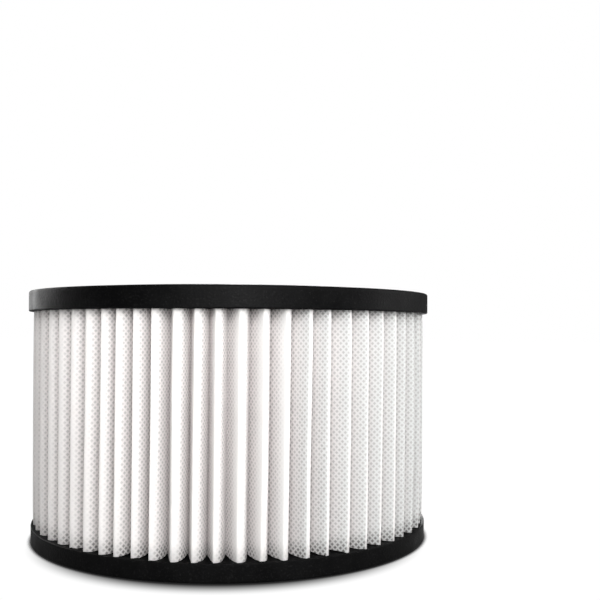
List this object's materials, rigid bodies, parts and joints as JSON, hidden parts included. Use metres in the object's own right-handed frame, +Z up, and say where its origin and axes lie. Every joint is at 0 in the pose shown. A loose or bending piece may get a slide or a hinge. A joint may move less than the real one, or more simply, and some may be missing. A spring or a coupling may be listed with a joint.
{
  "type": "vacuum cleaner cartridge filter",
  "caption": "Round pleated cartridge filter for a vacuum cleaner: white pleats round a mesh sleeve, a closed black cap below and an open black ring with a rubber seal on top.",
  "frame": {"origin": "centre of the closed end, on the plane it stands on", "axes": "+Z up the filter's axis towards the open end; +X and +Y are radial, with a pleat crest on +X"},
  "size_m": [0.185, 0.185, 0.1126],
  "materials": {
    "black_plastic": "satin with a fine moulded grain",
    "tan_glue": "hot-melt glue, waxy",
    "white_nonwoven": "dot-bonded nonwoven",
    "dark_mesh": "expanded steel, dark coating",
    "seal_rubber": "smooth soft rubber"
  },
  "bodies": {
    "root": {"closed_end_cap": "black_plastic", "mesh_foot_glue": "tan_glue", "pleated_media": "white_nonwoven", "support_mesh": "dark_mesh", "open_end_ring": "black_plastic", "seal_ring": "seal_rubber"}
  },
  "joints": []
}
